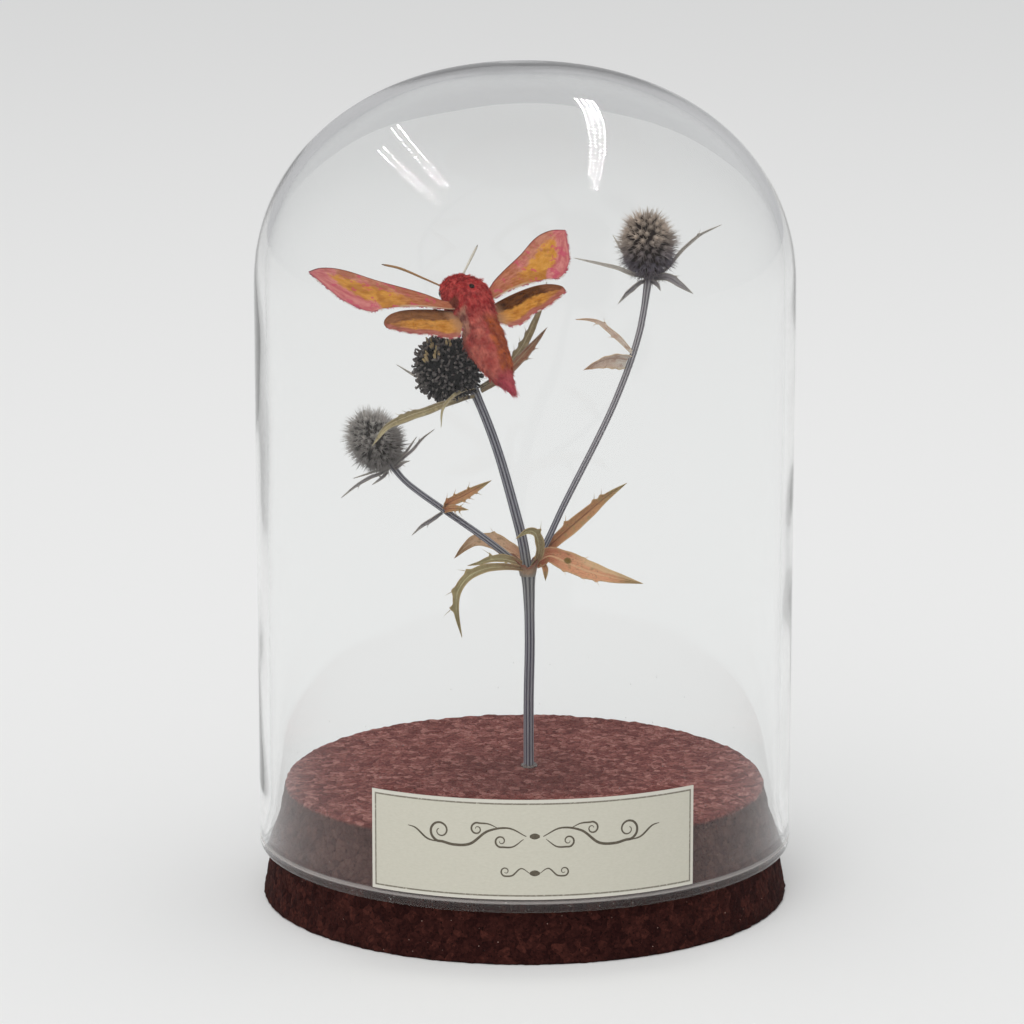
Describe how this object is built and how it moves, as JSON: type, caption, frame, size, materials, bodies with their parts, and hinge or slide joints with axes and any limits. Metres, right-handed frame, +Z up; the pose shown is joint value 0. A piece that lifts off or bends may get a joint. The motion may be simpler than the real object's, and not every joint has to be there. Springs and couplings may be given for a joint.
{
  "type": "insect in glass dome",
  "caption": "Set hawk moth on a dried spiny sprig with three flower heads, standing on a round tapered cork base under a clear glass dome with a blank bordered label.",
  "frame": {"origin": "centre of the cork's flat underside, on the surface that the object stands on", "axes": "+Z up along the dome's axis, the label faces -Y, +X is to the viewer's right"},
  "size_m": [0.1, 0.1004, 0.1565],
  "materials": {
    "cork": "red-brown stained agglomerated cork, matt and granular",
    "dome_glass": "clear blown glass, polished",
    "label_paper": "cream card with a thin brown ruled border",
    "clear_glue": "dried clear glue",
    "stem": "dry ribbed stem, slate grey with dark grooves",
    "grey_flower": "dry spiny florets, grey",
    "dark_flower": "dry curled florets, charcoal with a few tan ones",
    "pale_flower": "dry spiny florets, beige above and slate below",
    "dry_leaf": "dry papery leaf, tan to pinkish orange with olive tips",
    "bract": "dry papery bract, olive tan and grey",
    "moth_fur": "dense short raspberry fur",
    "forewing": "scaled wing, ochre with pink leading edge and outer margin",
    "hindwing": "scaled wing, brown above, ochre band and pink margin",
    "antenna": "dry tan chitin",
    "moth_leg": "short pink hair over chitin"
  },
  "bodies": {
    "root": {"cork_base": "cork", "glass_dome": "dome_glass", "label_card": "label_paper", "glue_bead": "clear_glue", "main_stem": "stem", "middle_stem": "stem", "left_stem": "stem", "right_stem": "stem", "left_flower_head": "grey_flower", "middle_flower_head": "dark_flower", "right_flower_head": "pale_flower", "leaf_right_lower": "dry_leaf", "leaf_right_upper": "dry_leaf", "leaf_front_curled": "dry_leaf", "leaf_left_back": "dry_leaf", "leaf_left_forked": "dry_leaf", "leaf_left_drooping": "dry_leaf", "leaf_small_spike": "dry_leaf", "left_stem_leaf_upper": "dry_leaf", "left_stem_leaf_lower": "dry_leaf", "left_stem_leaf_down": "bract", "right_stem_leaf_lower": "dry_leaf", "right_stem_leaf_upper": "dry_leaf", "right_head_bract_left": "bract", "right_head_bract_up": "bract", "right_head_bract_down": "bract", "right_head_bract_low": "bract", "right_head_bract_back": "bract", "right_head_bract_small": "bract", "left_head_bract_long": "bract", "left_head_bract_right": "bract", "left_head_bract_back": "bract", "left_head_bract_front": "bract", "left_head_bract_low": "bract", "left_head_bract_thin": "bract", "middle_head_bract_long": "bract", "middle_head_bract_hooked": "bract", "middle_head_bract_back": "bract", "middle_head_bract_right": "bract", "middle_head_bract_short": "bract", "moth_body": "moth_fur", "left_forewing": "forewing", "right_forewing": "forewing", "left_hindwing": "hindwing", "right_hindwing": "hindwing", "left_antenna": "antenna", "right_antenna": "antenna", "left_front_leg": "moth_leg", "right_front_leg": "moth_leg", "left_middle_leg": "moth_leg", "right_middle_leg": "moth_leg", "left_hind_leg": "moth_leg", "right_hind_leg": "moth_leg"}
  },
  "joints": []
}
